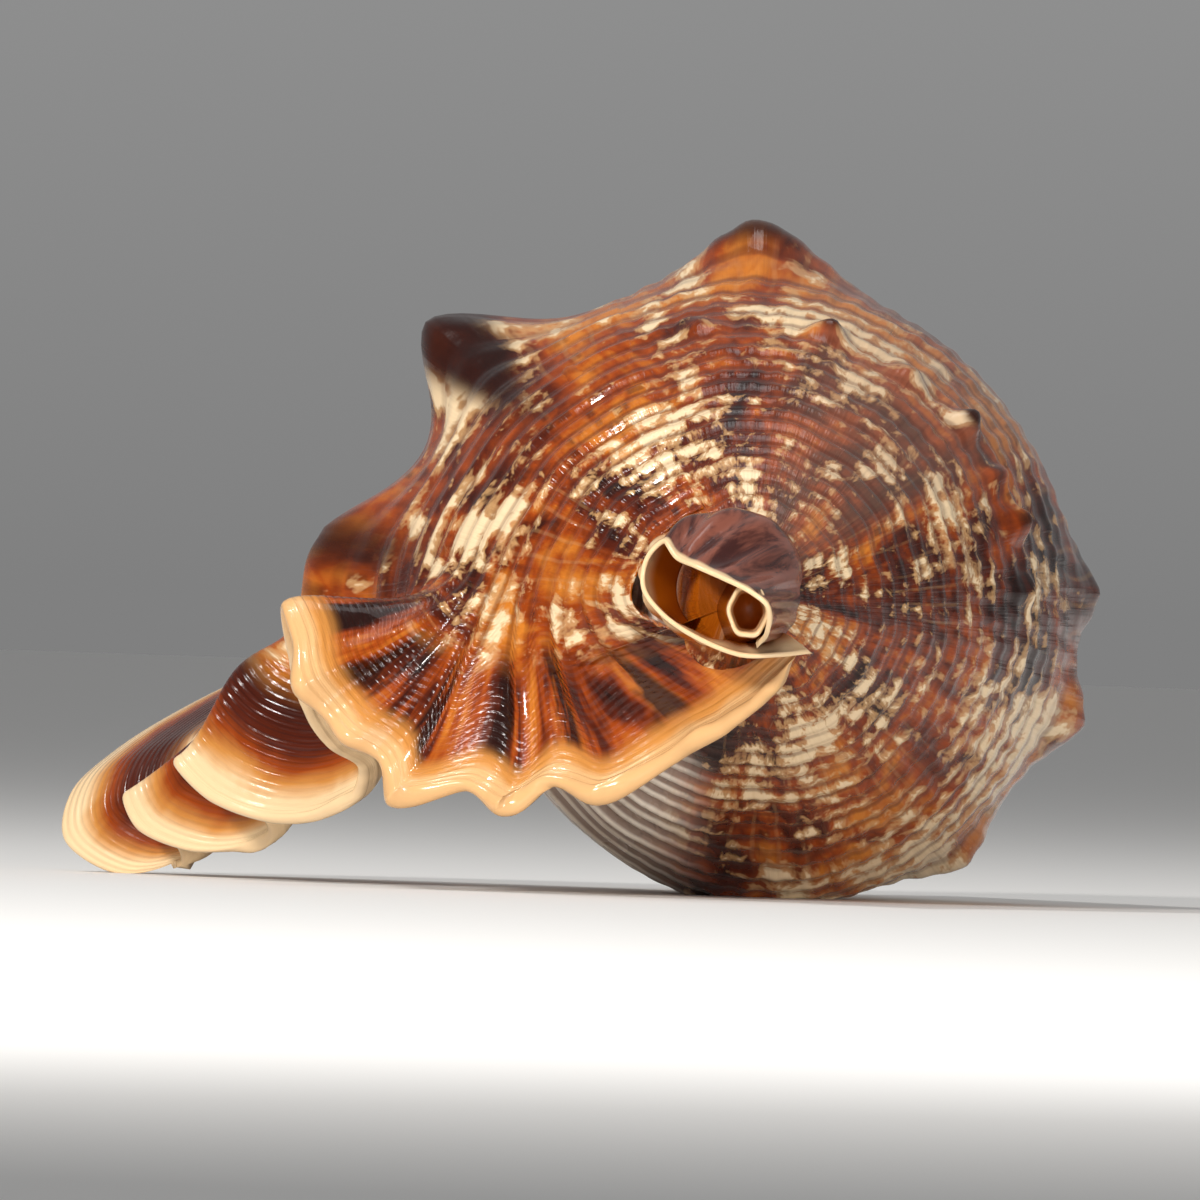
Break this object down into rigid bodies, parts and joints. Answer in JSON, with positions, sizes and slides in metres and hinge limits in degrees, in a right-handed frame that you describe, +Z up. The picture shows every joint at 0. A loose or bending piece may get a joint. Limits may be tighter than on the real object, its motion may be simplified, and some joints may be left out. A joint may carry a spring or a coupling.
{
  "type": "spider conch shell",
  "caption": "Spider conch seashell with knobbed whorls, a low spire, a curled canal and a flared, fluted outer lip.",
  "frame": {"origin": "on the surface that the shell lies on, under the middle of its box", "axes": "+Y along the coiling axis towards the spire, +Z up through the back, the lip towards -X"},
  "size_m": [0.085, 0.1144, 0.0554],
  "materials": {
    "shell": "glossy grown shell: chestnut and cream mottling on fine cords, cream at the lip's margin"
  },
  "bodies": {
    "root": {"shell": "shell"}
  },
  "joints": []
}
